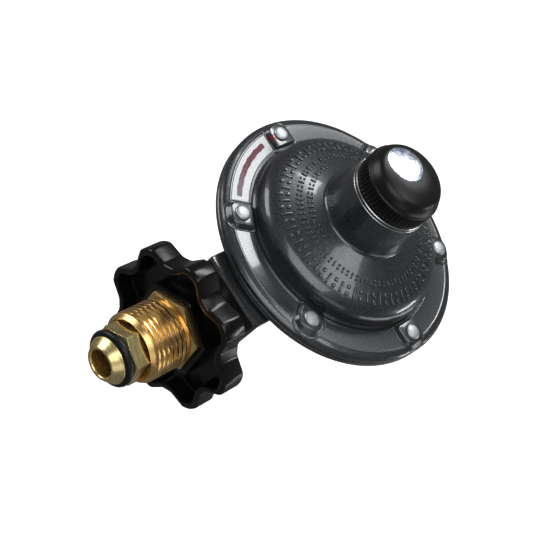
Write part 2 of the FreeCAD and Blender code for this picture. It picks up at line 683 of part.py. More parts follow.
def make_nut():
    """Brass union nut: left-hand thread drawn at its major diameter, hexagon behind."""
    body = new_body("union_nut", "axis_height")
    lathe_x(body, [
        ("-nut_front", "nut_recess"), ("-nut_front", "nut_thread - nut_lead * 0.7"),
        ("-nut_front + nut_lead", "nut_thread"), ("-nut_thread_end", "nut_thread"),
        ("-nut_thread_end", "nut_thread - 0.9"), ("-nut_thread_end + 0.8", "nut_thread - 0.9"),
        ("-nut_back", "nut_thread - 0.9"), ("-nut_back", "nut_bore"),
        ("-nut_front + nut_recess_depth", "nut_bore"),
        ("-nut_front + nut_recess_depth", "nut_recess")])
    key = new_sketch(body, "YZ", "-nut_thread_end + 0.8")
    hexagon(key, "0", "0", "nut_hex", 23.0)
    circle(key, "0", "0", "nut_bore + 1")
    pad(body, key, "nut_thread_end - 0.8 - nut_back")
    return body


def make_handwheel():
    """Moulded wheel with eight lobes, dished front, hexagon collar and a long hub."""
    body = new_body("handwheel", "axis_height")
    rim = new_sketch(body, "YZ", "-wheel_front")
    circle(rim, "0", "0", "lobe_radius")
    pad(body, rim, "wheel_front - wheel_back")
    hub = new_sketch(body, "YZ", "-wheel_back")
    circle(hub, "0", "0", "hub_radius")
    pad(body, hub, "wheel_back - hub_back")
    dish = new_sketch(body, "YZ", "-wheel_front")
    circle(dish, "0", "0", "dish_radius")
    hexagon(dish, "0", "0", "collar_hex", 23.0)
    cut(body, dish, "dish_depth", along=True)
    face = new_sketch(body, "YZ", "-wheel_front - 1")
    circle(face, "0", "0", "0.65 * collar_hex")
    cut(body, face, "wheel_front - collar_front + 1", along=True)
    socket = new_sketch(body, "YZ", "-collar_front - 1")
    hexagon(socket, "0", "0", "(nut_hex + 0.1)", 23.0)
    cut(body, socket, "collar_front - nut_back + 1", along=True)
    bore = new_sketch(body, "YZ", "-wheel_front")
    circle(bore, "0", "0", "hub_bore")
    cut(body, bore, "wheel_front - hub_back + 1", along=True)
    lobe_at = 28.3
    pocket = new_sketch(body, "YZ", "-wheel_front")
    outline(pocket, [
        polar("(dish_radius - 1.5)", "-14", lobe_at), polar("lobe_pocket", "-7", lobe_at),
        polar("(lobe_pocket + 0.3)", "0", lobe_at), polar("lobe_pocket", "7", lobe_at),
        polar("(dish_radius - 1.5)", "14", lobe_at)])
    ring_pattern(body, cut(body, pocket, "dish_depth", along=True), LOBES, "X_Axis")
    valley_at = lobe_at + 180.0 / LOBES
    valley = new_sketch(body, "YZ", "-wheel_front - 1")
    outline(valley, [
        polar("(lobe_corner + 3.5)", "-(lobe_corner_angle + 8)", valley_at),
        polar("lobe_corner", "-lobe_corner_angle", valley_at),
        polar("valley_radius", "-valley_angle", valley_at),
        polar("valley_radius", "valley_angle", valley_at),
        polar("lobe_corner", "lobe_corner_angle", valley_at),
        polar("(lobe_corner + 3.5)", "(lobe_corner_angle + 8)", valley_at),
        polar("(lobe_corner + 8)", "0", valley_at)])
    ring_pattern(body, cut(body, valley, "wheel_front - wheel_back + 2", along=True),
                 LOBES, "X_Axis")
    return body


# ------------------------------------------------------------------ build and check
def build_all():
    parts = [
        make_lower_casing(), make_bonnet(), make_rivets(), make_diaphragm(), make_plate(),
        make_washer(), make_post(), make_relief_seat(), make_retainer(), make_lever(),
        make_lever_pin(), make_pin_screws(), make_valve_stem(), make_seat_disc(),
        make_nozzle(), make_adjuster(), make_cap(), make_label(), make_nipple(),
        make_nose_ring(), make_inlet_screen(), make_nut(), make_handwheel()]
    parts += make_vent_parts()
    parts.append(make_coil("relief_spring", "relief_coil", "relief_wire", "relief_seat",
                           "relief_seat + relief_height", "relief_pitch"))
    parts.append(make_coil("setting_spring", "spring_coil", "spring_wire", "spring_low",
                           "spring_high", "spring_pitch"))
    return parts


def check_document(parts):
    problems = []
    for obj in doc.Objects:
        if "Invalid" in obj.State or "Error" in obj.State:
            problems.append("%s %s" % (obj.Name, obj.State))
    for part in parts:
        if part.Shape.isNull() or not part.Shape.isValid() or not part.Shape.Solids:
            problems.append(part.Label + " has no valid solid")
    if problems:
        raise RuntimeError("; ".join(problems))


PARTS = build_all()
doc.recompute()
check_document(PARTS)
os.makedirs("parts", exist_ok=True)
for part in PARTS:
    part.Shape.exportStep("parts/%s.step" % part.Label)
    print("%-18s solids %d  volume %9.1f mm3" % (
        part.Label, len(part.Shape.Solids), part.Shape.Volume))
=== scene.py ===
import logging
import math
import random
from dataclasses import dataclass
from enum import Enum
from typing import Callable, Sequence

import bmesh
import bpy
import numpy as np
from mathutils import Matrix, Vector


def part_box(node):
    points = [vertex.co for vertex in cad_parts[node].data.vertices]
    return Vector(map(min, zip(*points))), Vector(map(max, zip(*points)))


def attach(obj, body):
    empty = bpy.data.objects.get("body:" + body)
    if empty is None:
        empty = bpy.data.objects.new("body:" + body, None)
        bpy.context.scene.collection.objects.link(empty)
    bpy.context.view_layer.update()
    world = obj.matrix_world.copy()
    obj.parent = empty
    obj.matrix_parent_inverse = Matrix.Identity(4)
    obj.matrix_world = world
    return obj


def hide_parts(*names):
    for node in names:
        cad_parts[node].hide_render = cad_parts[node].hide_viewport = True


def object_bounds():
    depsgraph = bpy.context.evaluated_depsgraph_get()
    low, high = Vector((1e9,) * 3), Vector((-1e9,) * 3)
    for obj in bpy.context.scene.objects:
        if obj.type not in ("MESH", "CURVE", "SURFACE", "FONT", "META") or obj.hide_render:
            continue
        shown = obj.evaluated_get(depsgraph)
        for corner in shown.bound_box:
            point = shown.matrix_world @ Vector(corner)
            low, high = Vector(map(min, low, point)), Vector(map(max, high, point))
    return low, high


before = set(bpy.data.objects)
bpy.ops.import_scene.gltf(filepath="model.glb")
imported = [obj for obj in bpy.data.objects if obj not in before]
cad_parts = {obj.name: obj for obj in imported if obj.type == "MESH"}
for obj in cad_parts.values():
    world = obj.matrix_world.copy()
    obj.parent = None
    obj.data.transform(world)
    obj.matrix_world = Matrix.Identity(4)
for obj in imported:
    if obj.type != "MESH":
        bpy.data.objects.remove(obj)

# The visible model of a low-pressure gas regulator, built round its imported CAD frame.
# Sizes are in millimetres until a mesh is made; the frame and Blender are in metres.

LOG = logging.getLogger("regulator")
MM = 0.001
CAD_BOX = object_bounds()
AXIS_HEIGHT = (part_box("union_nut")[0].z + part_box("union_nut")[1].z) / 2 / MM
VENT_HEIGHT = (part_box("vent_screen")[0].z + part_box("vent_screen")[1].z) / 2 / MM
RIVET_ANGLES = tuple(30.0 + 60.0 * i for i in range(6))
CHAMFER_STEPS = 9
CHAMFER_ALONG = 0.1
CHAMFER_RISE = 0.19
LAMP_AIM = (-0.025, 0.0, 0.03)
WORLD_STRENGTH = 0.15

Corner = tuple[float, float, float]
Section = list[tuple[float, float]]


class Axis(Enum):
    """The line that a turned piece is turned about."""

    BONNET = "bonnet"
    INLET = "inlet"
    VENT = "vent"


# ------------------------------------------------------------------- mesh helpers
def rounded(corners: Sequence[Corner], closed: bool = False, steps: int = 5) -> Section:
    """Softens the corners of a polyline.

    Args:
        corners: (across, up, cut) for each corner; cut is how far from it the bend starts.
        closed: whether the last corner is followed by the first.
        steps: how many spans a bend has.

    Returns:
        The softened line's points.
    """
    count = len(corners)
    line: Section = []
    for i, (across, up, cut) in enumerate(corners):
        here = np.array((across, up))
        if cut <= 0 or (not closed and i in (0, count - 1)):
            line.append((across, up))
            continue
        before = np.array(corners[i - 1][:2]) - here
        after = np.array(corners[(i + 1) % count][:2]) - here
        reach = [min(cut, 0.48 * np.linalg.norm(v)) / np.linalg.norm(v) for v in (before, after)]
        start, end = here + before * reach[0], here + after * reach[1]
        for step in range(steps + 1):
            t = step / steps
            point = (1 - t) ** 2 * start + 2 * t * (1 - t) * here + t * t * end
            line.append((float(point[0]), float(point[1])))
    return line


def ring(axis: Axis, along: float, radius: float | np.ndarray, turns: np.ndarray) -> np.ndarray:
    """One loop of points round an axis.

    Args:
        axis: the line that the loop goes round.
        along: the loop's place on that line.
        radius: its radius, or one radius for each point.
        turns: the points' angles in radians; on the inlet they run from +Y towards +Z.

    Returns:
        The points, in metres.
    """
    across, up = radius * np.cos(turns), radius * np.sin(turns)
    flat = np.full_like(across, along)
    if axis is Axis.BONNET:
        points = np.stack((across, up, flat), 1)
    else:
        height = AXIS_HEIGHT if axis is Axis.INLET else VENT_HEIGHT
        points = np.stack((flat, across, up + height), 1)
    return points * MM


def turns_of(count: int, start: float = 0.0) -> np.ndarray:
    """Equal angles round a circle, in radians, the first at start degrees."""
    return math.radians(start) + np.linspace(0, 2 * math.pi, count, endpoint=False)


def mesh_object(name: str, points: np.ndarray, faces: Sequence[Sequence[int]]) -> bpy.types.Object:
    """A new object whose faces all look outwards."""
    mesh = bpy.data.meshes.new(name)
    mesh.from_pydata([tuple(p) for p in points], [], [tuple(f) for f in faces])
    mesh.validate()
    work = bmesh.new()
    work.from_mesh(mesh)
    bmesh.ops.recalc_face_normals(work, faces=work.faces)
    work.to_mesh(mesh)
    work.free()
    made = bpy.data.objects.new(name, mesh)
    bpy.context.scene.collection.objects.link(made)
    return made


def skin(name: str, loops: Sequence[np.ndarray], closed: bool = True) -> bpy.types.Object:
    """Skins a row of loops with quads.

    Args:
        name: the object's name.
        loops: loops with the same number of points.
        closed: joins the last loop to the first; otherwise both ends get a flat cap.

    Returns:
        The new closed object.
    """
    count, rows = len(loops[0]), len(loops)
    faces: list[tuple[int, ...]] = []
    for row in range(rows if closed else rows - 1):
        a, b = row * count, (row + 1) % rows * count
        faces += [(a + i, a + (i + 1) % count, b + (i + 1) % count, b + i) for i in range(count)]
    if not closed:
        faces.append(tuple(range(count - 1, -1, -1)))
        faces.append(tuple((rows - 1) * count + i for i in range(count)))
    return mesh_object(name, np.vstack(loops), faces)


def turned(name: str, axis: Axis, section: Section, count: int = 160,
           closed: bool = True) -> bpy.types.Object:
    """A lathe piece.

    Args:
        name: the object's name.
        axis: the line it is turned about.
        section: (radius, place on the axis) points.
        count: segments round the axis.
        closed: whether the section comes back to its start.

    Returns:
        The new closed object.
    """
    turns = turns_of(count)
    return skin(name, [ring(axis, along, radius, turns) for radius, along in section], closed)


def soften(piece: bpy.types.Object, limit: float = 32.0) -> bpy.types.Object:
    """Shades a piece smoothly, with crisp edges where faces meet at over limit degrees."""
    work = bmesh.new()
    work.from_mesh(piece.data)
    for face in work.faces:
        face.smooth = True
    for edge in work.edges:
        edge.smooth = len(edge.link_faces) == 2 and edge.calc_face_angle(0) < math.radians(limit)
    work.to_mesh(piece.data)
    work.free()
    return piece


def joined(name: str, parts: Sequence[bpy.types.Object]) -> bpy.types.Object:
    """One object from several, keeping each one's materials."""
    work = bmesh.new()
    materials: list[bpy.types.Material] = []
    for part in parts:
        offset = []
        for material in part.data.materials:
            if material not in materials:
                materials.append(material)
            offset.append(materials.index(material))
        before = len(work.faces)
        work.from_mesh(part.data)
        work.faces.ensure_lookup_table()
        for face in list(work.faces)[before:]:
            face.material_index = offset[face.material_index] if offset else 0
    mesh = bpy.data.meshes.new(name)
    work.to_mesh(mesh)
    work.free()
    for material in materials:
        mesh.materials.append(material)
    for part in parts:
        bpy.data.objects.remove(part)
    made = bpy.data.objects.new(name, mesh)
    bpy.context.scene.collection.objects.link(made)
    return made


def combined(base: bpy.types.Object, tool: bpy.types.Object, how: str) -> bpy.types.Object:
    """Unites a solid with another, or cuts the other out of it.

    Args:
        base: the solid that stays.
        tool: the other solid, which is used up.
        how: "UNION" or "DIFFERENCE".

    Returns:
        The base, with its new mesh.
    """
    step = base.modifiers.new("solid", "BOOLEAN")
    step.operation, step.object, step.solver = how, tool, "EXACT"
    shape = base.evaluated_get(bpy.context.evaluated_depsgraph_get())
    mesh = bpy.data.meshes.new_from_object(shape)
    base.modifiers.clear()
    base.data = mesh
    bpy.data.objects.remove(tool)
    return base


def bar(name: str, place: Callable[[float, float, float], tuple[float, float, float]],
        half_long: float, half_wide: float, high: float) -> bpy.types.Object:
    """A small raised bar with rounded shoulders.

    Args:
        name: the object's name.
        place: turns (along, across, up) in millimetres into a point of the object.
        half_long: half the bar's length.
        half_wide: half its width.
        high: how far it stands up.

    Returns:
        The new closed object.
    """
    loops = []
    for up, pull in ((-0.5, 0.0), (high * 0.55, 0.0), (high * 0.9, 0.1), (high, 0.22)):
        long, wide = half_long - pull, half_wide - pull
        outline = rounded([(-long, -wide, 0.3), (long, -wide, 0.3), (long, wide, 0.3),
                           (-long, wide, 0.3)], closed=True, steps=2)
        loops.append(np.array([place(a, b, up) for a, b in outline]) * MM)
    return skin(name, loops, closed=False)


# ----------------------------------------------------------------------- finishes
def linear(code: str) -> tuple[float, float, float, float]:
    """An sRGB hex colour as linear RGBA."""
    parts = [int(code[i:i + 2], 16) / 255 for i in (1, 3, 5)]
    red, green, blue = (c / 12.92 if c <= 0.04045 else ((c + 0.055) / 1.055) ** 2.4
                        for c in parts)
    return red, green, blue, 1.0


def node(tree: bpy.types.NodeTree, kind: str, settings: dict | None = None,
         links: dict | None = None) -> bpy.types.Node:
    """Adds a shader node.

    Args:
        tree: the material's node tree.
        kind: the node's Blender type.
        settings: values for its properties, or for its inputs by name or number.
        links: the output that feeds each input.

    Returns:
        The new node.
    """
    made = tree.nodes.new(kind)
    for key, value in (settings or {}).items():
        if isinstance(key, str) and hasattr(made, key):
            setattr(made, key, value)
        else:
            made.inputs[key].default_value = value
    for key, source in (links or {}).items():
        tree.links.new(source, made.inputs[key])
    return made


def grains(size_mm: float) -> float:
    """The texture scale that makes a pattern's grain size_mm wide."""
    return 1 / (size_mm * MM)


@dataclass(frozen=True)
class Finish:
    """A surface finish: what all of this object's materials share."""

    name: str
    light: str
    dark: str
    rough_low: float
    rough_high: float
    grain_mm: float
    bump_mm: float

    def shader(self) -> dict[str, object]:
        """The constant settings of the surface shader."""
        return {}

    def pattern(self, tree: bpy.types.NodeTree, place: bpy.types.NodeSocket) -> bpy.types.NodeSocket:
        """The grey pattern that drives colour, roughness and relief."""
        return node(tree, "ShaderNodeTexNoise",
                    {"Scale": grains(self.grain_mm), "Detail": 3.0, "Roughness": 0.6},
                    {"Vector": place}).outputs["Fac"]

    def build(self) -> bpy.types.Material:
        """The finish as a material, made once."""
        known = bpy.data.materials.get(self.name)
        if known:
            return known
        material = bpy.data.materials.new(self.name)
        material.use_nodes = True
        tree = material.node_tree
        tree.nodes.clear()
        place = node(tree, "ShaderNodeTexCoord").outputs["Object"]
        grey = self.pattern(tree, place)
        colour = node(tree, "ShaderNodeValToRGB", {}, {"Fac": grey})
        for stop, code, at in zip(colour.color_ramp.elements, (self.dark, self.light), (0.3, 0.7)):
            stop.color, stop.position = linear(code), at
        rough = node(tree, "ShaderNodeMapRange",
                     {"To Min": self.rough_low, "To Max": self.rough_high}, {"Value": grey})
        relief = node(tree, "ShaderNodeBump", {"Strength": 1.0, "Distance": self.bump_mm * MM},
                      {"Height": grey})
        surface = node(tree, "ShaderNodeBsdfPrincipled", self.shader(),
                       {"Base Color": colour.outputs["Color"], "Roughness": rough.outputs["Result"],
                        "Normal": relief.outputs["Normal"]})
        node(tree, "ShaderNodeOutputMaterial", {}, {"Surface": surface.outputs["BSDF"]})
        return material


@dataclass(frozen=True)
class CastLacquer(Finish):
    """Zinc die-casting under sprayed grey metallic lacquer.

    The flakes give the eye a fine glitter in a broad, soft highlight, and the sprayed
    coat a faint orange peel.
    """

    name: str = "sprayed_metallic_lacquer"
    light: str = "#585b5e"
    dark: str = "#1e2022"
    rough_low: float = 0.25
    rough_high: float = 0.34
    grain_mm: float = 0.4  # flakes are about 0.05 mm; drawn coarse enough to show
    bump_mm: float = 0.008

    def shader(self) -> dict[str, object]:
        """A half-metallic coat with a thin clear top."""
        return {"Metallic": 0.75, "Coat Weight": 0.7, "Coat Roughness": 0.07}


@dataclass(frozen=True)
class TurnedBrass(Finish):
    """Free-cutting brass, turned bright: golden, with fine rings left by the tool."""

    name: str = "turned_brass"
    light: str = "#f6d698"
    dark: str = "#dcae6a"
    rough_low: float = 0.22
    rough_high: float = 0.34
    grain_mm: float = 0.35  # feed marks are about 0.1 mm; drawn as coarse as they need
    bump_mm: float = 0.006

    def shader(self) -> dict[str, object]:
        """Bare metal."""
        return {"Metallic": 1.0}

    def pattern(self, tree: bpy.types.NodeTree, place: bpy.types.NodeSocket) -> bpy.types.NodeSocket:
        """Rings round the inlet axis, broken up a little."""
        stretched = node(tree, "ShaderNodeMapping", {"Scale": (1.0, 0.06, 0.06)}, {"Vector": place})
        return node(tree, "ShaderNodeTexNoise",
                    {"Scale": grains(self.grain_mm), "Detail": 2.0, "Roughness": 0.5},
                    {"Vector": stretched.outputs["Vector"]}).outputs["Fac"]


@dataclass(frozen=True)
class BrushedBrass(TurnedBrass):
    """Brass bar, drawn to a hexagon and brushed: paler and greener than the turned nut."""

    name: str = "brushed_brass"
    light: str = "#faeab0"
    dark: str = "#dcc37c"
    rough_low: float = 0.2
    rough_high: float = 0.34
    grain_mm: float = 0.3


@dataclass(frozen=True)
class MouldedPhenolic(Finish):
    """Black phenolic, compression moulded and glossy: tight highlights, faint flow waves."""

    name: str = "moulded_black_phenolic"
    light: str = "#0b0b0c"
    dark: str = "#040404"
    rough_low: float = 0.18
    rough_high: float = 0.26
    grain_mm: float = 5.0
    bump_mm: float = 0.03

    def shader(self) -> dict[str, object]:
        """A dark dielectric with a polished skin."""
        return {"IOR": 1.5, "Specular IOR Level": 0.32}


@dataclass(frozen=True)
class MouldedCap(MouldedPhenolic):
    """Black polyethylene, injection moulded: semi-gloss with a fine texture."""

    name: str = "moulded_black_cap"
    light: str = "#0d0d0e"
    dark: str = "#060607"
    rough_low: float = 0.3
    rough_high: float = 0.38
    grain_mm: float = 0.7
    bump_mm: float = 0.006


@dataclass(frozen=True)
class NitrileRubber(MouldedPhenolic):
    """Nitrile rubber, moulded and lightly oiled: black with a soft highlight."""

    name: str = "moulded_nitrile"
    light: str = "#0b0b0b"
    dark: str = "#040404"
    rough_low: float = 0.34
    rough_high: float = 0.44
    grain_mm: float = 1.2
    bump_mm: float = 0.004


@dataclass(frozen=True)
class DiaphragmRubber(Finish):
    """Fabric-reinforced rubber sheet, calendered: dull black with a faint cloth relief."""

    name: str = "calendered_rubber_sheet"
    light: str = "#1b1b1b"
    dark: str = "#0d0d0d"
    rough_low: float = 0.55
    rough_high: float = 0.7
    grain_mm: float = 0.6
    bump_mm: float = 0.02


@dataclass(frozen=True)
class ClinchedRivet(Finish):
    """Aluminium rivet, cold headed: bright and a little satin, with press marks."""

    name: str = "headed_aluminium"
    light: str = "#c2c5c8"
    dark: str = "#92969a"
    rough_low: float = 0.42
    rough_high: float = 0.54
    grain_mm: float = 0.6
    bump_mm: float = 0.02

    def shader(self) -> dict[str, object]:
        """Bare metal."""
        return {"Metallic": 1.0}


@dataclass(frozen=True)
class CastZinc(ClinchedRivet):
    """Bare zinc where the lacquer stops at a machined edge: a thin bright line."""

    name: str = "machined_zinc"
    light: str = "#c9cdd0"
    dark: str = "#a0a5a9"
    rough_low: float = 0.25
    rough_high: float = 0.35
    bump_mm: float = 0.004


@dataclass(frozen=True)
class ZincPlate(ClinchedRivet):
    """Steel, zinc plated and passivated: cool grey with soft mottling."""

    name: str = "plated_steel"
    light: str = "#b9bec2"
    dark: str = "#8d9397"
    rough_low: float = 0.25
    rough_high: float = 0.4
    grain_mm: float = 1.5
    bump_mm: float = 0.004


@dataclass(frozen=True)
class SpringWire(ClinchedRivet):
    """Drawn spring steel wire: darker grey with lengthwise shine."""

    name: str = "drawn_spring_wire"
    light: str = "#9a9da0"
    dark: str = "#6a6d70"
    rough_low: float = 0.25
    rough_high: float = 0.35
    grain_mm: float = 0.4
    bump_mm: float = 0.004


@dataclass(frozen=True)
class FoilSticker(Finish):
    """Metallised polyester foil, stuck on by hand: mirror-bright, faintly wrinkled."""

    name: str = "wrinkled_foil"
    light: str = "#dfe3ea"
    dark: str = "#8793b0"
    rough_low: float = 0.16
    rough_high: float = 0.3
    grain_mm: float = 2.6
    bump_mm: float = 0.12

    def shader(self) -> dict[str, object]:
        """A thin metal film."""
        return {"Metallic": 0.85}


@dataclass(frozen=True)
class InspectionPaint(Finish):
    """Red inspection lacquer put on with a felt pen: dark where thin, patchy at its ends."""

    name: str = "felt_pen_lacquer"
    light: str = "#6c5c61"
    dark: str = "#4e1227"
    rough_low: float = 0.3
    rough_high: float = 0.4
    grain_mm: float = 0.9
    bump_mm: float = 0.01
    fade_from: float = 114.0
    fade_to: float = 146.0

    def shader(self) -> dict[str, object]:
        """A thin film that keeps some of the metal's shine."""
        return {"Metallic": 0.15, "Specular IOR Level": 0.15}

    def pattern(self, tree: bpy.types.NodeTree, place: bpy.types.NodeSocket) -> bpy.types.NodeSocket:
        """Patchy ink that runs out along the stroke, so that the lacquer shows through."""
        patches = super().pattern(tree, place)
        parts = node(tree, "ShaderNodeSeparateXYZ", {}, {"Vector": place}).outputs
        turn = node(tree, "ShaderNodeMath", {"operation": "ARCTAN2"}, {0: parts["Y"], 1: parts["X"]})
        fade = node(tree, "ShaderNodeMapRange",
                    {"From Min": math.radians(self.fade_from), "From Max": math.radians(self.fade_to),
                     "To Min": -0.35, "To Max": 0.45}, {"Value": turn.outputs["Value"]})
        return node(tree, "ShaderNodeMath", {"operation": "ADD"},
                    {0: patches, 1: fade.outputs["Result"]}).outputs["Value"]


@dataclass(frozen=True)
class RedDab(InspectionPaint):
    """A fresh dab of the same lacquer, thick enough to be bright red."""

    name: str = "thick_red_lacquer"
    light: str = "#a81824"
    dark: str = "#a01420"


def dress(piece: bpy.types.Object, finish: Finish, body: str,
          replaced: Sequence[str] = ()) -> bpy.types.Object:
    """Gives a piece its finish and fixes it to the frame.

    Args:
        piece: the piece, in place.
        finish: its finish, unless it already has materials.
        body: the CAD body it rides on.
        replaced: the CAD nodes it stands for.

    Returns:
        The same piece.
    """
    if not piece.data.materials:
        piece.data.materials.append(finish.build())
    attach(piece, body)
    if replaced:
        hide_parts(*replaced)
    LOG.info("%s on %s: %d faces", piece.name, body, len(piece.data.polygons))
    return piece


# ------------------------------------------------------------------ the sub-assemblies
@dataclass
class Bonnet:
    """The upper die-casting: flange, six rivet lugs, dome, spring tower and vent boss."""

    rim: float = 45.85
    low: float = 27.5
    crease: float = 29.05
    face: float = 30.4
    shoulder: float = 43.1
    dome_foot: float = 35.3
    dome_side: float = 34.2
    crest: float = 31.2
    crest_height: float = 38.9
    tower_foot: float = 15.6
    tower_base: float = 44.0
    tower_radius: float = 14.1
    tower_top: float = 58.9
    lug_top: float = 32.0
    mark_height: float = 0.42

    def outer(self) -> Section:
        """The outside section, from the flange's lower edge up to the tower's rim."""
        return rounded([
            (self.rim - 0.2, self.low, 0), (self.rim, self.low + 0.2, 0.1),
            (self.rim, self.crease - 0.15, 0.1), (self.rim - 0.28, self.crease, 0.1),
            (self.rim - 0.05, self.crease + 0.16, 0.1),
            (self.rim - 0.9, self.face - 0.45, 0.9), (self.shoulder + 0.35, self.face - 0.07, 0.2),
            (self.shoulder + 0.15, self.face + 0.08, 0.12),
            (self.shoulder - 0.2, self.face + 0.08, 0.12), (self.shoulder - 0.4, self.face, 0.1),
            (self.dome_foot + 1.15, self.face, 0.1), (self.dome_foot + 0.95, self.face + 0.24, 0.15),
            (self.dome_foot + 0.6, self.face + 0.24, 0.15),
            (self.dome_foot + 0.38, self.face - 0.25, 0.1),
            (self.dome_foot + 0.1, self.face - 0.2, 0.1), (self.dome_foot - 0.1, self.face + 0.5, 0.3),
            (self.dome_side + 0.45, 31.8, 0.5), (self.dome_side + 0.1, 35.4, 0.9),
            (self.dome_side - 0.7, 37.1, 1.3), (self.crest, self.crest_height - 0.1, 2.6),
            (22.5, self.tower_base - 2.35, 3.5), (self.tower_foot + 0.15, self.tower_base - 0.15, 1.0),
            (self.tower_foot - 0.25, self.tower_base + 2.4, 0.8),
            (self.tower_radius + 0.04, self.tower_top - 1.3, 0.1),
            (self.tower_radius - 0.14, self.tower_top - 1.12, 0.02),
            (self.tower_radius - 0.16, self.tower_top - 0.22, 0.02),
            (self.tower_radius - 0.38, self.tower_top, 0)])

    def height(self, radius: float) -> float:
        """The outside's height at a radius, on the flange or the dome."""
        line = [p for p in self.outer() if p[1] > self.crease]
        radii = [p[0] for p in line][::-1]
        heights = [p[1] for p in line][::-1]
        return float(np.interp(radius, radii, heights))

    def shell(self) -> bpy.types.Object:
        """The turned part of the casting, with bare metal on the tower's rim."""
        outside = self.outer()
        inside = [(12.6, self.tower_top), (11.9, self.tower_top - 0.7), (11.9, 44.0), (14.1, 41.5),
                  (22.0, 39.3), (29.6, 36.4), (31.7, 34.0), (32.8, 30.4), (32.8, self.low)]
        piece = soften(turned("bonnet_shell", Axis.BONNET, outside + inside, 288), 40)
        piece.data.materials.append(CastLacquer().build())
        piece.data.materials.append(CastZinc().build())
        for face in piece.data.polygons:
            spot = face.center / MM
            below = self.tower_top - spot.z
            if spot.xy.length > 12.2 and (below < 0.2 or 1.13 < below < 1.3):
                face.material_index = 1
        return piece

    def lug(self, angle: float) -> bpy.types.Object:
        """One rivet lug, from the dome's foot out over the flange's rolled edge.

        Args:
            angle: its place round the bonnet, in degrees.

        Returns:
            The new closed object.
        """
        turn = Matrix.Rotation(math.radians(angle), 3, "Z")
        loops = []
        levels = ((-1.0, 5.75, 45.83, 35.0, True), (0.02, 5.7, 45.82, 35.1, True),
                  (0.24, 5.55, 45.7, 35.2, True), (0.26, 5.35, 45.45, 35.4, True),
                  (0.06, 5.1, 45.1, 35.6, True), (0.1, 4.9, 44.85, 35.7, True),
                  (0.7, 4.65, 44.5, 35.8, True), (self.lug_top - 0.35, 4.3, 44.05, 36.0, False),
                  (self.lug_top - 0.08, 4.12, 43.85, 36.1, False),
                  (self.lug_top, 3.85, 43.6, 36.3, False))
        for up, half, tip, inner, follows in levels:
            outline = rounded([
                (inner, -half, 0.9), (tip, -half, half * 0.9), (tip, half, half * 0.9),
                (inner, half, 0.9)], closed=True, steps=10)
            loop = []
            for across, along in outline:
                reach = min(math.hypot(across, along), 45.8)
                level = self.height(max(reach, 36.4)) + up if follows else up
                loop.append(turn @ Vector((across, along, level)) * MM)
            loops.append(np.array(loop))
        return soften(skin("lug", loops, closed=False), 50)

    def raised_marks(self) -> bpy.types.Object:
        """Three rows of plain raised bars on the dome, cast with it."""
        bars = []
        rows = ((28.7, 1.9, 0.42, 2.5, 0.0, 360.0), (23.9, 1.05, 0.3, 1.75, 20.0, 330.0),
                (20.6, 1.0, 0.3, 1.75, 95.0, 185.0))
        for radius, half_long, half_wide, gap, start, end in rows:
            count = int(math.radians(end - start) * radius / gap)
            for i in range(count):
                angle = math.radians(start + (end - start) * i / count)
                slope = math.atan2(self.height(radius - 1) - self.height(radius + 1), 2)
                out = Vector((math.cos(angle), math.sin(angle), 0))
                side = Vector((-math.sin(angle), math.cos(angle), 0))
                along = out * math.cos(slope) - Vector((0, 0, math.sin(slope)))
                normal = side.cross(along) * -1
                base = out * radius + Vector((0, 0, self.height(radius)))

                def place(a: float, b: float, c: float) -> tuple[float, float, float]:
                    """A point of the bar, in millimetres."""
                    return tuple(base + along * a + side * b + normal * c)

                if i % 2:
                    bars.append(bar("mark", place, half_long, half_wide, self.mark_height))
                    continue
                for shift in (-0.62, 0.62):
                    step = shift * half_long

                    def offset(a: float, b: float, c: float) -> tuple[float, float, float]:
                        """A point of one of the two short bars between the long ones."""
                        return place(a + step, b, c)

                    bars.append(bar("mark", offset, half_long * 0.36, half_wide * 1.5,
                                    self.mark_height))
        return soften(joined("bonnet_marks", bars), 60)

    def vent_boss(self) -> bpy.types.Object:
        """The short tube on +X that the bonnet breathes through."""
        section = rounded([
            (3.2, 30.5, 0), (5.0, 30.5, 0), (5.0, 41.4, 0), (4.7, 42.0, 0.2), (4.2, 42.0, 0),
            (4.0, 41.8, 0), (4.0, 39.8, 0), (3.2, 39.8, 0)], closed=True)
        return soften(turned("vent_boss", Axis.VENT, section, 72))

    def stripe(self) -> bpy.types.Object:
        """A pen stroke of inspection paint along the flange's face."""
        rng = random.Random(3)
        loops = []
        for i in range(110):
            angle = math.radians(102.0 + 37.5 * i / 109)
            fade = min(1.0, (113 - i) / 6) * min(1.0, (i + 3) / 5)
            middle = 39.95 + 0.08 * math.sin(i * 0.35)
            half = (0.95 + 0.08 * rng.random()) * fade
            loop = [(middle - half, self.face - 0.05), (middle + half, self.face - 0.05),
                    (middle + half - 0.03, self.face + 0.02), (middle - half + 0.03, self.face + 0.02)]
            loops.append(np.array([(r * math.cos(angle), r * math.sin(angle), z)
                                   for r, z in loop]) * MM)
        return skin("inspection_stripe", loops, closed=False)

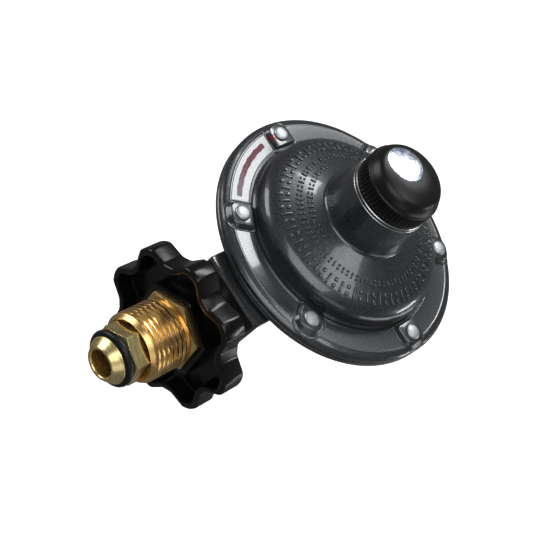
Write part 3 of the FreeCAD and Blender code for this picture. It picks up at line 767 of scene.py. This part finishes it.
    def dab(self) -> bpy.types.Object:
        """Three crossing strokes of the same paint, up the wall of one lug and over its edge."""
        wall = np.array([(-5.0, 30.78), (-4.8, 30.98), (-4.25, 31.62), (-3.95, 31.93),
                         (-3.75, 32.03), (-2.8, 32.03)])
        reach = np.concatenate(([0.0], np.cumsum(np.hypot(*np.diff(wall, axis=0).T))))
        strokes = []
        for start, end in (((0.2, 41.3), (2.7, 38.8)), ((0.3, 39.4), (2.6, 41.0)),
                           ((0.5, 38.2), (2.1, 39.9))):
            loops = []
            for share in np.linspace(0.0, 1.0, 16):
                up, along = np.array(start) * (1 - share) + np.array(end) * share
                x, z = (float(np.interp(up, reach, wall[:, k])) for k in (0, 1))
                half = 0.32 * min(1.0, 4 * (share + 0.05), 4 * (1.05 - share))
                loops.append(np.array([(x + dx, along + dy, z + dz) for dx, dy, dz in (
                    (0.08, -half, -0.08), (0.08, half, -0.08), (-0.05, half - 0.08, 0.05),
                    (-0.05, 0.08 - half, 0.05))]) * MM)
            strokes.append(skin("stroke", loops, closed=False))
        return joined("inspection_dab", strokes)

    def build(self) -> None:
        """Makes and places the casting and the paint on it."""
        lacquer = CastLacquer().build()
        parts = [self.shell(), self.vent_boss()] + [self.lug(a) for a in RIVET_ANGLES]
        for part in parts[1:]:
            part.data.materials.append(lacquer)
        dress(joined("bonnet_casting", parts), CastLacquer(), "casing", ["bonnet"])
        dress(self.raised_marks(), CastLacquer(), "casing")
        dress(self.stripe(), InspectionPaint(), "casing")
        dress(self.dab(), RedDab(), "casing")


@dataclass
class LowerCasing:
    """The lower die-casting: bowl, inlet neck with its end plate, outlet boss."""

    rim: float = 45.85
    rim_low: float = 24.8
    rim_high: float = 27.0
    neck_face: float = 49.3
    neck_half: float = 13.2
    neck_top: float = 24.4
    outlet_end: float = 48.5
    outlet_minor: float = 7.8
    outlet_pitch: float = 1.41

    def bowl(self) -> bpy.types.Object:
        """The bowl with its rim and foot, hollow inside."""
        section = rounded([
            (13.5, 0, 0), (15.0, 0, 0.4), (15.0, 3.4, 0.6), (18.5, 3.5, 1.0), (25.5, 5.0, 4.0),
            (31.5, 9.5, 3.4), (35.0, 16.0, 3.4), (36.1, self.rim_low - 1.2, 0.6),
            (37.2, self.rim_low, 0.8), (self.rim - 0.5, self.rim_low, 0),
            (self.rim, self.rim_low + 0.5, 0.4), (self.rim, self.rim_high - 0.3, 0.2),
            (self.rim - 0.3, self.rim_high, 0), (32.8, self.rim_high, 0), (32.8, self.rim_low, 0.5),
            (32.5, 16.0, 3.0), (29.0, 10.7, 3.0), (24.1, 7.6, 2.0), (18.0, 7.6, 0)])
        return turned("lower_casting", Axis.BONNET, section, 224, closed=False)

    def slab(self, name: str, outline: Sequence[Corner], start: float, end: float,
             edge: float) -> bpy.types.Object:
        """A prism along X with a chamfered start.

        Args:
            name: the object's name.
            outline: (y, z, cut) corners.
            start: the x of its chamfered face.
            end: the x of its other face.
            edge: the chamfer's size.

        Returns:
            The new closed object.
        """
        line = np.array(rounded(outline, closed=True, steps=4))
        middle = line.mean(0)
        span = np.abs(line - middle).max(0)
        loops = []
        for x, pull in ((start, edge), (start + edge, 0.0), (end, 0.0)):
            inner = middle + (line - middle) * (1 - pull / span)
            loops.append(np.column_stack((np.full(len(line), x), inner)) * MM)
        return skin(name, loops, closed=False)

    def thread_cutter(self) -> bpy.types.Object:
        """The outlet's internal pipe thread, as the solid that is cut away."""
        turns = turns_of(72)
        loops = []
        for along in np.arange(self.outlet_end - 14.6, self.outlet_end + 1.2, self.outlet_pitch / 8):
            phase = (along / self.outlet_pitch - turns / (2 * math.pi)) % 1.0
            depth = 0.75 * (1 - np.abs(2 * phase - 1))
            lead = max(0.0, along - (self.outlet_end - 1.1))
            loops.append(ring(Axis.INLET, along, np.maximum(self.outlet_minor + depth,
                                                            self.outlet_minor + lead), turns))
        return skin("cutter", loops, closed=False)

    def build(self) -> None:
        """Unites the solids, cuts the ports and dresses the casting."""
        axis, half = AXIS_HEIGHT, self.neck_half
        casting = self.bowl()
        shelf = self.slab("shelf", [(-half, 22.0, 0.5), (half, 22.0, 0.5), (half, 24.4, 0.5),
                                    (-half, 24.4, 0.5)], -self.neck_face + 1.2, -30.0, 0.2)
        plate = self.slab("plate", [
            (-half, self.neck_top, 0.6), (-half, axis - 7, 2.0), (-half + 5, axis - 12.6, 2.0),
            (half - 5, axis - 12.6, 2.0), (half, axis - 7, 2.0), (half, self.neck_top, 0.6)],
            -self.neck_face, -self.neck_face + 2.25, 0.75)
        for part in (shelf, plate,
                     turned("neck", Axis.INLET, [(9.35, -48.4), (9.35, -27.0)], 96, closed=False),
                     turned("outlet", Axis.INLET, rounded(
                         [(11.5, 26.0, 0), (11.5, self.outlet_end - 0.8, 0),
                          (10.7, self.outlet_end, 0)]), 96, closed=False)):
            casting = combined(casting, part, "UNION")
        for tool in (turned("bore", Axis.INLET, [(6.85, -51.0), (6.85, -37.4), (4.5, -37.4),
                                                 (4.5, -20.0)], 64, closed=False),
                     self.thread_cutter(),
                     turned("passage", Axis.INLET, [(6.0, 28.0), (6.0, self.outlet_end - 14.0)],
                            64, closed=False)):
            casting = combined(casting, tool, "DIFFERENCE")
        casting.name = "lower_casting"
        dress(soften(casting, 34), CastLacquer(), "casing", ["lower_casing"])


@dataclass
class Rivets:
    """The six rivets that close the casing."""

    circle: float = 40.0
    head: float = 2.75
    top: float = 32.0
    crown: float = 1.2

    def build(self) -> None:
        """Makes all six, each with a domed head above and an upset one below."""
        section = rounded([
            (0.02, 23.65, 0), (2.3, 23.65, 0.4), (2.85, 24.1, 0.3), (2.85, 24.8, 0), (2.0, 24.8, 0),
            (2.0, self.top, 0), (self.head - 0.1, self.top, 0), (self.head, self.top + 0.3, 0.2),
            (self.head - 0.25, self.top + 0.78, 0.5), (self.head - 1.0, self.top + 1.08, 0.8),
            (0.02, self.top + self.crown, 0)])
        parts = []
        for angle in RIVET_ANGLES:
            part = turned("rivet", Axis.BONNET, section, 48, closed=False)
            part.data.transform(Matrix.Translation(
                Vector((math.cos(math.radians(angle)), math.sin(math.radians(angle)), 0))
                * self.circle * MM))
            parts.append(part)
        dress(soften(joined("rivets", parts), 40), ClinchedRivet(), "casing",
              ["casing_rivets"])


@dataclass
class ClosingCap:
    """The moulded cap over the adjuster: ribbed grip ring, domed crown, foil disc."""

    low: float = 59.1
    grip_radius: float = 13.68
    grip_top: float = 65.4
    crown_radius: float = 13.05
    crown_shoulder: float = 67.4
    top: float = 70.3
    flat: float = 9.6
    ribs: int = 60
    rib_depth: float = 0.5

    def build(self) -> None:
        """Makes the cap in one skin, and the foil disc on its flat."""
        turns = turns_of(self.ribs * 6)
        wave = np.array([0, 0, 0.25, 1, 1, 0.25])[np.arange(len(turns)) % 6] * self.rib_depth
        grip = self.grip_radius
        plain = rounded([
            (9.6, 53.4, 0), (11.3, 53.4, 0), (11.55, 53.8, 0), (11.55, self.low, 0),
            (grip - 0.5, self.low, 0)])
        loops = [ring(Axis.BONNET, z, r, turns) for r, z in plain]
        loops.append(ring(Axis.BONNET, self.low + 0.25, grip - 0.05, turns))
        loops.append(ring(Axis.BONNET, self.low + 0.6, grip - 0.02, turns))
        for z in (self.low + 0.7, self.low + 0.95, self.grip_top - 0.95, self.grip_top - 0.65):
            share = 1.0 if self.low + 0.8 < z < self.grip_top - 0.7 else 0.2
            loops.append(ring(Axis.BONNET, z, grip - wave * share, turns))
        crown_line = [
            (grip - 0.1, self.grip_top - 0.4, 0), (grip - 0.22, self.grip_top - 0.12, 0.12),
            (self.crown_radius + 0.12, self.grip_top + 0.05, 0.15),
            (self.crown_radius - 0.35, self.crown_shoulder - 0.5, 1.2),
            (self.crown_radius - 1.6, self.crown_shoulder + 1.4, 1.8),
            (self.flat - 0.2, self.top - 0.75, 1.9), (self.flat - 3.6, self.top - 0.05, 2.2),
            (0.05, self.top, 0)]
        loops += [ring(Axis.BONNET, z, r, turns) for r, z in rounded(crown_line, steps=6)]
        loops += [ring(Axis.BONNET, z, r, turns) for r, z in
                  [(0.05, self.top - 2), (8.4, self.top - 2), (9.6, self.crown_shoulder - 2.6)]]
        cap = soften(skin("cap_moulding", loops), 48)
        dress(cap, MouldedCap(), "cap", ["closing_cap"])
        self.foil(rounded(crown_line[::-1], steps=6))

    def foil(self, line: Section) -> None:
        """The foil disc, pressed down over the crown's shoulder.

        Args:
            line: the crown's (radius, height) points, from the middle outwards.
        """
        low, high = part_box("cap_label")
        radius = (high.x - low.x) / 2 / MM
        radii, heights = [p[0] for p in line], [p[1] for p in line]
        loops = []
        for share, lift in ((1.0, -0.05), (1.0, 0.09), (0.97, 0.11), (0.8, 0.11), (0.6, 0.11),
                            (0.4, 0.11), (0.2, 0.11), (0.01, 0.11)):
            loop = []
            for t in turns_of(72):
                x = -0.7 + radius * share * math.cos(t)
                y = 3.9 + radius * share * math.sin(t)
                level = float(np.interp(math.hypot(x, y), radii, heights))
                loop.append((x, y, level + lift))
            loops.append(np.array(loop) * MM)
        dress(soften(skin("foil_disc", loops, closed=False)), FoilSticker(), "cap",
              ["cap_label"])


@dataclass
class InletUnion:
    """The brass inlet: nipple with its nose and seal ring, union nut with its thread."""

    nose_tip: float = 98.2
    nose_root: float = 95.2
    groove_back: float = 92.5
    groove: float = 6.4
    ring_wire: float = 1.3
    nipple_hex: float = 16.6
    nipple_hex_back: float = 86.4
    shank: float = 6.77
    nut_front: float = 87.4
    nut_crest: float = 11.24
    nut_root: float = 10.45
    thread_end: float = 73.2
    nut_back: float = 66.2
    nut_hex: float = 22.2
    pitch: float = 1.814

    @staticmethod
    def hexagonal(flats: float, corner: float, turns: np.ndarray) -> np.ndarray:
        """Radii of a hexagon.

        Args:
            flats: its width across flats.
            corner: the angle of one corner, in degrees.
            turns: the points' angles in radians.

        Returns:
            One radius for each angle.
        """
        off = (np.degrees(turns) - corner) % 60 - 30
        return flats / 2 / np.cos(np.radians(off))

    def nipple(self) -> None:
        """The nipple: bored nose cone, seal groove, chamfered hexagon, shank."""
        turns = turns_of(360)
        hexes = self.hexagonal(self.nipple_hex, 20.0, turns)
        tip, back, front = -self.nose_tip, -self.nipple_hex_back, -self.groove_back
        loops = [ring(Axis.INLET, x, r, turns) for r, x in rounded([
            (4.4, -38.2, 0), (4.4, tip + 1.0, 0), (4.5, tip + 0.35, 0.2), (4.85, tip, 0.2),
            (5.35, tip, 0.2), (5.95, tip + 0.75, 0.5), (7.1, -self.nose_root - 0.75, 0.5),
            (7.55, -self.nose_root - 0.25, 0.15), (7.6, -self.nose_root, 0),
            (self.groove, -self.nose_root, 0), (self.groove, front, 0), (8.0, front, 0)])]
        rising = range(CHAMFER_STEPS)
        for edge, along, steps in ((front, CHAMFER_ALONG, rising),
                                   (back, -CHAMFER_ALONG, reversed(rising))):
            for step in steps:
                limit = self.nipple_hex / 2 - 0.1 + CHAMFER_RISE * step
                loops.append(ring(Axis.INLET, edge + along * step, np.minimum(hexes, limit), turns))
        loops += [ring(Axis.INLET, x, r, turns) for r, x in
                  [(self.shank, back), (self.shank, -38.6), (6.4, -38.2)]]
        piece = soften(skin("nipple_turned", loops), 24)
        dress(piece, BrushedBrass(), "casing", ["inlet_nipple"])
        wire, middle = self.ring_wire, -(self.nose_root + self.groove_back) / 2
        section = [(self.groove + wire + 0.02 + wire * math.cos(t), middle + wire * math.sin(t))
                   for t in turns_of(24)]
        seal = soften(turned("nose_ring", Axis.INLET, section, 120), 60)
        dress(seal, NitrileRubber(), "casing", ["nose_seal_ring"])

    def nut(self) -> None:
        """The union nut: left-hand thread cut as a helix, relief, chamfered hexagon."""
        turns = turns_of(360, 23.0)
        front, end, back = -self.nut_front, -self.thread_end, -self.nut_back
        loops = [ring(Axis.INLET, x, r, turns) for r, x in
                 [(7.2, back), (7.2, front + 3.6), (9.7, front + 3.6), (9.7, front + 0.1),
                  (9.85, front)]]
        for x in np.arange(front, end + 0.01, self.pitch / 18):
            phase = (x / self.pitch + turns / (2 * math.pi)) % 1.0
            rise = np.clip((0.5 - np.abs(phase - 0.5)) / 0.5 * 2.0 - 0.2, 0, 1)
            radius = self.nut_root + (self.nut_crest - self.nut_root) * rise
            cone = 10.1 + (x - front) * 0.8
            fade = max(0.0, (x - (end - 0.9)) / 0.9)
            radius = np.minimum(radius, cone)
            radius = radius * (1 - fade) + min(10.3, cone) * fade
            loops.append(ring(Axis.INLET, x, np.maximum(radius, 10.0), turns))
        loops.append(ring(Axis.INLET, end + 0.75, 10.3, turns))
        hexes = self.hexagonal(self.nut_hex, 23.0, turns)
        chamfer = [(end + 0.8 + 0.1 * k, 0.22 * k) for k in range(9)]
        for x, spare in chamfer + [(back - 1.0, 1.75), (back - 0.5, 0.9), (back, 0.0)]:
            loops.append(ring(Axis.INLET, x, np.minimum(hexes, self.nut_hex / 2 - 0.1 + spare), turns))
        piece = soften(skin("nut_turned", loops), 28)
        dress(piece, TurnedBrass(), "union", ["union_nut"])


@dataclass
class Handwheel:
    """The moulded wheel pressed on the union nut: eight lobes, dished front, long hub."""

    front: float = 71.7
    back: float = 63.3
    hub_back: float = 50.2
    hub_radius: float = 9.8
    bore: float = 7.8
    lobes: int = 8
    first_lobe: float = 28.3
    floor: float = 65.9
    collar_hex: float = 26.4
    collar_front: float = 70.8

    def star(self, corners: Sequence[tuple[float, float, float]], grow: float = 0.0) -> np.ndarray:
        """An eight-lobed outline.

        Args:
            corners: (radius, degrees from the lobe's middle, cut) of one lobe's corners.
            grow: added to each radius.

        Returns:
            The outline's (y, z) points from the axis, in millimetres.
        """
        line: list[Corner] = []
        for lobe in range(self.lobes):
            for radius, off, cut in corners:
                angle = math.radians(self.first_lobe + 45.0 * lobe + off)
                line.append(((radius + grow) * math.cos(angle),
                             (radius + grow) * math.sin(angle), cut))
        return np.array(rounded(line, closed=True, steps=4))

    def place(self, outline: np.ndarray, x: float) -> np.ndarray:
        """An outline set at x, in metres."""
        lifted = outline + np.array((0.0, AXIS_HEIGHT))
        return np.column_stack((np.full(len(outline), x), lifted)) * MM

    def wheel(self) -> bpy.types.Object:
        """The lobed body with its dish and hub."""
        outer = [(26.05, -6.2, 0.7), (26.45, 0.0, 1.2), (26.05, 6.2, 0.7), (22.3, 17.6, 0.8),
                 (22.3, 27.4, 0.8)]
        inner = [(23.6, -6.4, 0.9), (24.1, 0.0, 1.2), (23.6, 6.4, 0.9), (20.0, 17.0, 1.0),
                 (20.0, 28.0, 1.0)]
        angles = np.arctan2(self.star(outer)[:, 1], self.star(outer)[:, 0])

        def circle(radius: float, x: float) -> np.ndarray:
            """A round loop whose points line up with the star's."""
            return ring(Axis.INLET, x, radius, angles)

        front, back, floor = -self.front, -self.back, -self.floor
        loops = [circle(self.bore, -self.hub_back - 0.4), circle(self.bore + 0.4, -self.hub_back),
                 circle(self.hub_radius - 0.7, -self.hub_back),
                 circle(self.hub_radius - 0.2, -self.hub_back - 0.2),
                 circle(self.hub_radius, -self.hub_back - 0.7), circle(self.hub_radius, back + 1.0),
                 circle(self.hub_radius + 0.3, back + 0.3), circle(self.hub_radius + 1.0, back)]
        for grow, x in ((-1.1, back), (-0.5, back - 0.12), (-0.15, back - 0.45), (0.0, back - 1.0),
                        (0.0, front + 1.0), (-0.12, front + 0.5), (-0.4, front + 0.15),
                        (-0.8, front)):
            loops.append(self.place(self.star(outer, grow), x))
        for grow, x in ((0.45, front), (0.12, front + 0.12), (0.0, front + 0.45),
                        (-0.35, floor - 0.9), (-0.6, floor - 0.3), (-1.2, floor)):
            loops.append(self.place(self.star(inner, grow), x))
        loops += [circle(14.0, floor), circle(self.bore, floor)]
        return soften(skin("wheel", loops), 30)

    def collar(self) -> bpy.types.Object:
        """The hexagonal socket ring round the nut."""
        turns = turns_of(240, 23.0)
        outside = InletUnion.hexagonal(self.collar_hex, 23.0, turns)
        inside = InletUnion.hexagonal(22.3, 23.0, turns)
        front, low = -self.collar_front, -self.floor + 0.6
        loops = []
        for radii, x in ((np.minimum(outside, 14.9), low), (np.minimum(outside, 14.9), front + 0.5),
                         (np.minimum(outside, 14.75) - 0.15, front + 0.15),
                         (np.minimum(outside, 14.6) - 0.45, front), (inside + 0.3, front),
                         (inside + 0.05, front + 0.3), (inside, low)):
            loops.append(ring(Axis.INLET, x, radii, turns))
        return soften(skin("collar", loops), 30)

    def build(self) -> None:
        """Joins the moulding's solids and dresses them."""
        piece = joined("handwheel_moulding", [self.wheel(), self.collar()])
        dress(piece, MouldedPhenolic(), "union", ["handwheel"])


class InnerPieces:
    """The CAD nodes that show as they are, most of them inside the casing."""

    FINISHES: dict[str, Finish] = {
        "diaphragm": DiaphragmRubber(), "diaphragm_plate": ZincPlate(),
        "diaphragm_washer": ZincPlate(), "centre_post": ClinchedRivet(),
        "relief_washer": ZincPlate(), "relief_retainer": ZincPlate(),
        "relief_spring": SpringWire(), "setting_spring": SpringWire(), "lever": ZincPlate(),
        "lever_pin": ZincPlate(), "pin_screws": ZincPlate(), "valve_stem": ClinchedRivet(),
        "seat_disc": NitrileRubber(), "orifice_nozzle": TurnedBrass(),
        "adjusting_screw": ClinchedRivet(), "vent_snap_ring": SpringWire(),
        "vent_screen": ZincPlate(), "inlet_screen": TurnedBrass(),
    }

    def build(self) -> None:
        """Gives each of them its finish."""
        for name, finish in self.FINISHES.items():
            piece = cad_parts[name]
            piece.data.materials.clear()
            piece.data.materials.append(finish.build())
            for face in piece.data.polygons:
                face.material_index = 0
            LOG.info("%s keeps its CAD shape, finish %s", name, finish.name)


@dataclass
class Studio:
    """The pale floor, the soft lights and the camera."""

    floor_drop: float = 150.0
    camera_at: tuple[float, float, float] = (-275.68, -46.51, 293.63)
    right: tuple[float, float, float] = (0.67028, -0.53988, 0.50917)
    up: tuple[float, float, float] = (0.32827, 0.83104, 0.44901)
    back: tuple[float, float, float] = (-0.66555, -0.13381, 0.73426)
    lens: float = 77.107

    def floor(self) -> None:
        """A wide matt board under the object."""
        level = CAD_BOX[0].z - self.floor_drop * MM
        turns = turns_of(64)
        board = skin("floor", [ring(Axis.BONNET, level / MM, 3000.0, turns),
                               ring(Axis.BONNET, level / MM - 4.0, 3000.0, turns)], closed=False)
        material = bpy.data.materials.new("matt_white_board")
        material.use_nodes = True
        surface = material.node_tree.nodes["Principled BSDF"]
        surface.inputs["Base Color"].default_value = linear("#f4f4f4")
        surface.inputs["Roughness"].default_value = 0.9
        surface.inputs["Specular IOR Level"].default_value = 0.1
        surface.inputs["Emission Color"].default_value = (1.0, 1.0, 1.0, 1.0)
        surface.inputs["Emission Strength"].default_value = 0.45
        board.visible_glossy = False
        board.data.materials.append(material)

    def lamp(self, name: str, azimuth: float, elevation: float, distance: float,
             size: tuple[float, float], power: float) -> None:
        """A rectangular soft lamp aimed at the object.

        Args:
            name: the lamp's name.
            azimuth: where it stands round +Z, in degrees from +X.
            elevation: how high it stands, in degrees.
            distance: how far away, in metres.
            size: its width and height, in metres.
            power: its power in watts.
        """
        data = bpy.data.lights.new(name, "AREA")
        data.shape, data.size, data.size_y, data.energy = "RECTANGLE", size[0], size[1], power
        made = bpy.data.objects.new(name, data)
        made.visible_camera = False
        bpy.context.scene.collection.objects.link(made)
        turn, rise = math.radians(azimuth), math.radians(elevation)
        away = Vector((math.cos(turn) * math.cos(rise), math.sin(turn) * math.cos(rise),
                       math.sin(rise)))
        made.location = away * distance + Vector(LAMP_AIM)
        made.rotation_euler = (math.pi / 2 - rise, 0.0, turn + math.pi / 2)

    def camera(self) -> None:
        """The camera, at its place and turn in the frame."""
        data = bpy.data.cameras.new("camera")
        data.sensor_width, data.lens, data.clip_start = 36.0, self.lens, 0.01
        made = bpy.data.objects.new("camera", data)
        bpy.context.scene.collection.objects.link(made)
        turn = Matrix((self.right, self.up, self.back)).transposed()
        made.matrix_world = Matrix.Translation(Vector(self.camera_at) * MM) @ turn.to_4x4()
        bpy.context.scene.camera = made

    def build(self) -> None:
        """Sets up the stage."""
        self.floor()
        world = bpy.data.worlds.new("studio")
        world.use_nodes = True
        sky = world.node_tree.nodes["Background"]
        sky.inputs["Color"].default_value = (1.0, 1.0, 1.0, 1.0)
        sky.inputs["Strength"].default_value = WORLD_STRENGTH
        bpy.context.scene.world = world
        self.lamp("key", 29, 47.5, 0.9, (0.5, 0.19), 3.9)
        self.lamp("overhead", 198, 60, 1.5, (1.1, 1.1), 9.5)
        self.lamp("side", 112, 11, 0.9, (0.45, 0.55), 3.2)
        self.lamp("panel", -35, 72, 1.2, (0.5, 0.35), 2.0)
        self.lamp("low", -46, 14, 0.9, (0.3, 0.07), 1.0)
        self.lamp("under", -66, -12, 0.5, (0.5, 0.14), 0.4)
        self.lamp("front", -128, 16, 0.9, (0.5, 0.4), 0.5)
        bpy.context.scene.view_settings.view_transform = "Standard"
        self.camera()


def main() -> None:
    """Builds every sub-assembly in order."""
    logging.basicConfig(level=logging.INFO, format="%(message)s")
    Bonnet().build()
    LowerCasing().build()
    Rivets().build()
    ClosingCap().build()
    union = InletUnion()
    union.nipple()
    union.nut()
    Handwheel().build()
    InnerPieces().build()
    Studio().build()


if __name__ == "__main__":
    main()
